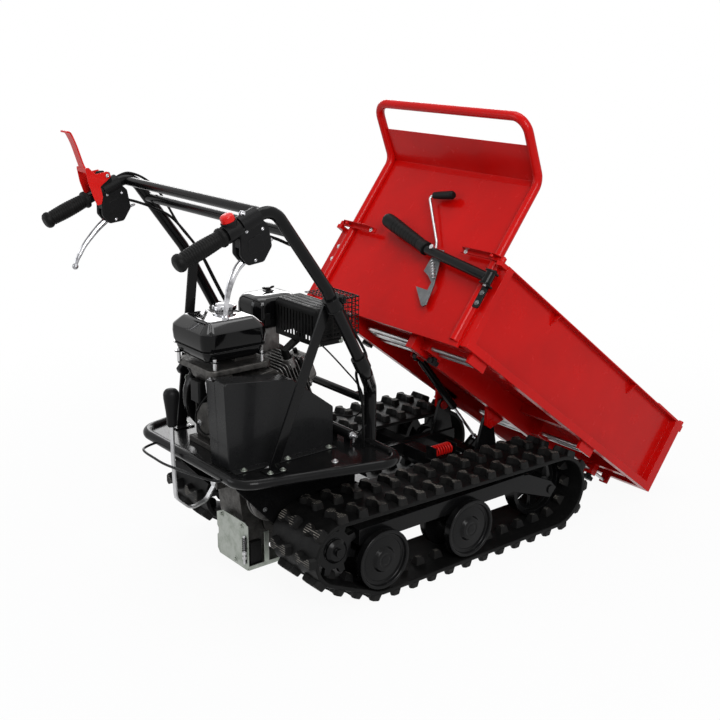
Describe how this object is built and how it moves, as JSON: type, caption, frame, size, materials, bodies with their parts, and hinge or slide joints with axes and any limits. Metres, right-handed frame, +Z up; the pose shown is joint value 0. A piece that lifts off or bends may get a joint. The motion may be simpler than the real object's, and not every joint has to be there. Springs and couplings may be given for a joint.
{
  "type": "power carrier",
  "caption": "Tracked power carrier with a rear engine platform, handlebars, and a tipping box on a gas strut whose side and front panels slide out",
  "frame": {"origin": "on the ground, under the centre of the bounding box, with the box tipped as in the picture", "axes": "+X to the front, +Y to the left of someone behind the handlebars, +Z up"},
  "size_m": [1.6975, 0.6594, 1.1347],
  "materials": {
    "black_paint": "black, semi-gloss",
    "black_plastic": "black, fine grain",
    "cast_aluminium": "cast",
    "chrome": "polished",
    "galvanised": "zinc plated",
    "grey_paint": "dark grey, semi-gloss",
    "red_paint": "red, semi-gloss",
    "red_plastic": "red",
    "rubber": "black, matt",
    "wheel_paint": "black, satin"
  },
  "bodies": {
    "machine": {"chassis_frame": "black_paint", "track_left": "rubber", "track_right": "rubber", "engine_platform": "black_paint", "handlebar": "black_paint", "strut_left": "black_paint", "grip_left": "rubber", "lever_housing_left": "black_plastic", "cable_left": "rubber", "strut_right": "black_paint", "grip_right": "rubber", "lever_housing_right": "black_plastic", "cable_right": "rubber", "gearbox_housing": "cast_aluminium", "gearbox_guard": "galvanised", "engine_block": "cast_aluminium", "valve_cover": "cast_aluminium", "fuel_tank": "black_paint", "carburettor": "cast_aluminium", "air_cleaner": "black_plastic", "muffler": "black_paint", "muffler_guard": "black_paint", "recoil_housing": "black_paint", "drive_belt": "rubber", "belt_guard": "grey_paint", "return_spring": "red_plastic"},
    "box": {"box_floor": "red_paint", "headboard": "red_paint"},
    "side_left": {"side_left": "red_paint"},
    "side_right": {"side_right": "red_paint"},
    "front": {"front_panel": "red_paint"},
    "rear_strap_left": {"strap_rear_left": "red_paint"},
    "front_strap_left": {"strap_front_left": "red_paint"},
    "rear_strap_right": {"strap_rear_right": "red_paint"},
    "front_strap_right": {"strap_front_right": "red_paint"},
    "lifting_lever": {"lifting_bar": "black_paint", "hook_spring": "galvanised"},
    "hook": {"hook_plate": "galvanised"},
    "strut_rod": {"gas_rod": "chrome"},
    "strut_tube": {"gas_cylinder": "black_paint"},
    "steering_left": {"steering_lever_left": "chrome"},
    "steering_right": {"steering_lever_right": "chrome"},
    "clutch": {"clutch_lever": "red_plastic"},
    "stop": {"stop_button": "red_plastic"},
    "gears": {"gear_lever": "chrome"},
    "starter": {"starter_grip": "black_plastic"},
    "cap": {"fuel_cap": "black_plastic"},
    "drive_left": {"sprocket_left": "wheel_paint"},
    "idle_left": {"idler_left": "wheel_paint"},
    "rear_roller_left": {"roller_rear_left": "wheel_paint"},
    "front_roller_left": {"roller_front_left": "wheel_paint"},
    "drive_right": {"sprocket_right": "wheel_paint"},
    "idle_right": {"idler_right": "wheel_paint"},
    "rear_roller_right": {"roller_rear_right": "wheel_paint"},
    "front_roller_right": {"roller_front_right": "wheel_paint"},
    "motor_pulley": {"engine_pulley": "cast_aluminium"},
    "input_pulley": {"gearbox_pulley": "cast_aluminium"},
    "knob_right": {"clamp_knob_right": "black_plastic"},
    "knob_left": {"clamp_knob_left": "black_plastic"},
    "knob_front": {"clamp_knob_front": "black_plastic"}
  },
  "joints": [
    {"name": "box_tip", "type": "hinge", "parent": "machine", "child": "box", "pos_m": [0.2447, 0, 0.27], "axis": [0, 1, 0], "range_deg": [-36.9, 0]},
    {"name": "side_slide_left", "type": "slide", "parent": "box", "child": "side_left", "axis": [0, 1, 0], "range_m": [0, 0.15]},
    {"name": "side_slide_right", "type": "slide", "parent": "box", "child": "side_right", "axis": [0, -1, 0], "range_m": [0, 0.15]},
    {"name": "front_slide", "type": "slide", "parent": "box", "child": "front", "axis": [-0.7997, 0, 0.6004], "range_m": [-0.12, 0]},
    {"name": "rear_strap_swing_left", "type": "hinge", "parent": "side_left", "child": "rear_strap_left", "pos_m": [0.04419, 0.3155, 0.78507], "axis": [-0.6004, 0, -0.7997], "range_deg": [0, 90]},
    {"name": "front_strap_swing_left", "type": "hinge", "parent": "front", "child": "front_strap_left", "pos_m": [0.8358, 0.3135, 0.19221], "axis": [-0.6004, 0, -0.7997], "range_deg": [0, 90]},
    {"name": "rear_strap_swing_right", "type": "hinge", "parent": "side_right", "child": "rear_strap_right", "pos_m": [0.04419, -0.3155, 0.78507], "axis": [0.6004, 0, 0.7997], "range_deg": [0, 90]},
    {"name": "front_strap_swing_right", "type": "hinge", "parent": "front", "child": "front_strap_right", "pos_m": [0.8358, -0.3135, 0.19221], "axis": [0.6004, 0, 0.7997], "range_deg": [0, 90]},
    {"name": "lifting_swing", "type": "hinge", "parent": "box", "child": "lifting_lever", "pos_m": [0.00377, -0.311, 0.75039], "axis": [0.6004, 0, 0.7997], "range_deg": [0, 25]},
    {"name": "hook_swing", "type": "hinge", "parent": "lifting_lever", "child": "hook", "pos_m": [0.03918, -0.095, 0.77257], "axis": [0.7997, 0, -0.6004], "range_deg": [-18, 0], "stiffness_Nm_per_rad": 1.2, "springref_deg": 28.65},
    {"name": "strut_turn", "type": "hinge", "parent": "machine", "child": "strut_rod", "pos_m": [0.2947, 0, 0.179], "axis": [0, 1, 0], "range_deg": [-27.3, 0]},
    {"name": "strut_stroke", "type": "slide", "parent": "strut_rod", "child": "strut_tube", "axis": [-0.625, 0, 0.7806], "range_m": [-0.0264, 0]},
    {"name": "steering_pull_left", "type": "hinge", "parent": "machine", "child": "steering_left", "pos_m": [-0.6733, 0.3026, 0.886], "axis": [0, 1, 0], "range_deg": [0, 22], "stiffness_Nm_per_rad": 2, "springref_deg": -11.46},
    {"name": "steering_pull_right", "type": "hinge", "parent": "machine", "child": "steering_right", "pos_m": [-0.6733, -0.3026, 0.886], "axis": [0, 1, 0], "range_deg": [0, 22], "stiffness_Nm_per_rad": 2, "springref_deg": -11.46},
    {"name": "clutch_press", "type": "hinge", "parent": "machine", "child": "clutch", "pos_m": [-0.6893, 0.3026, 0.984], "axis": [0, 1, 0], "range_deg": [-50, 0], "stiffness_Nm_per_rad": 3, "springref_deg": 17.19},
    {"name": "stop_press", "type": "slide", "parent": "machine", "child": "stop", "axis": [0.376, 0, -0.9266], "range_m": [0, 0.0025], "stiffness_N_per_m": 800, "springref_m": -0.003},
    {"name": "gear_shift", "type": "hinge", "parent": "machine", "child": "gears", "pos_m": [-0.5653, 0.03, 0.25], "axis": [0, 1, 0], "range_deg": [-14, 2]},
    {"name": "starter_pull", "type": "slide", "parent": "machine", "child": "starter", "axis": [-0.7071, 0, 0.7071], "range_m": [0, 0.25], "stiffness_N_per_m": 20, "springref_m": -0.2},
    {"name": "cap_turn", "type": "hinge", "parent": "machine", "child": "cap", "pos_m": [-0.5233, 0.04, 0.68], "axis": [0, 0, 1], "range_deg": [0, 90]},
    {"name": "drive_turn_left", "type": "hinge", "parent": "machine", "child": "drive_left", "pos_m": [-0.4453, 0, 0.157], "axis": [0, 1, 0], "continuous": true},
    {"name": "rear_roller_turn_left", "type": "hinge", "parent": "machine", "child": "rear_roller_left", "pos_m": [-0.3153, 0, 0.104], "axis": [0, 1, 0], "continuous": true},
    {"name": "front_roller_turn_left", "type": "hinge", "parent": "machine", "child": "front_roller_left", "pos_m": [-0.0307, 0, 0.104], "axis": [0, 1, 0], "continuous": true},
    {"name": "idle_turn_left", "type": "hinge", "parent": "machine", "child": "idle_left", "pos_m": [0.29465, 0, 0.119], "axis": [0, 1, 0], "continuous": true},
    {"name": "drive_turn_right", "type": "hinge", "parent": "machine", "child": "drive_right", "pos_m": [-0.4453, 0, 0.157], "axis": [0, 1, 0], "continuous": true},
    {"name": "rear_roller_turn_right", "type": "hinge", "parent": "machine", "child": "rear_roller_right", "pos_m": [-0.3153, 0, 0.104], "axis": [0, 1, 0], "continuous": true},
    {"name": "front_roller_turn_right", "type": "hinge", "parent": "machine", "child": "front_roller_right", "pos_m": [-0.0307, 0, 0.104], "axis": [0, 1, 0], "continuous": true},
    {"name": "idle_turn_right", "type": "hinge", "parent": "machine", "child": "idle_right", "pos_m": [0.29465, 0, 0.119], "axis": [0, 1, 0], "continuous": true},
    {"name": "motor_turn", "type": "hinge", "parent": "machine", "child": "motor_pulley", "pos_m": [-0.5053, 0, 0.458], "axis": [0, 1, 0], "continuous": true},
    {"name": "input_turn", "type": "hinge", "parent": "machine", "child": "input_pulley", "pos_m": [-0.5053, 0, 0.262], "axis": [0, 1, 0], "continuous": true},
    {"name": "knob_turn_right", "type": "hinge", "parent": "box", "child": "knob_right", "pos_m": [-0.01935, -0.1545, 0.5164], "axis": [0.6004, 0, 0.7997], "continuous": true},
    {"name": "knob_turn_left", "type": "hinge", "parent": "box", "child": "knob_left", "pos_m": [0.01743, 0.1545, 0.48878], "axis": [0.6004, 0, 0.7997], "continuous": true},
    {"name": "knob_turn_front", "type": "hinge", "parent": "box", "child": "knob_front", "pos_m": [0.59601, -0.18, 0.05187], "axis": [0.6004, 0, 0.7997], "continuous": true}
  ],
  "couplings": [
    {"joint": "strut_turn", "follows": "box_tip", "ratio": 0.7395},
    {"joint": "strut_stroke", "follows": "box_tip", "m_per_rad": 0.0409},
    {"joint": "rear_roller_turn_left", "follows": "drive_turn_left", "ratio": 0.9238},
    {"joint": "front_roller_turn_left", "follows": "drive_turn_left", "ratio": 0.9238},
    {"joint": "idle_turn_left", "follows": "drive_turn_left", "ratio": 0.7819},
    {"joint": "rear_roller_turn_right", "follows": "drive_turn_right", "ratio": 0.9238},
    {"joint": "front_roller_turn_right", "follows": "drive_turn_right", "ratio": 0.9238},
    {"joint": "idle_turn_right", "follows": "drive_turn_right", "ratio": 0.7819},
    {"joint": "input_turn", "follows": "motor_turn", "ratio": 0.5484}
  ]
}
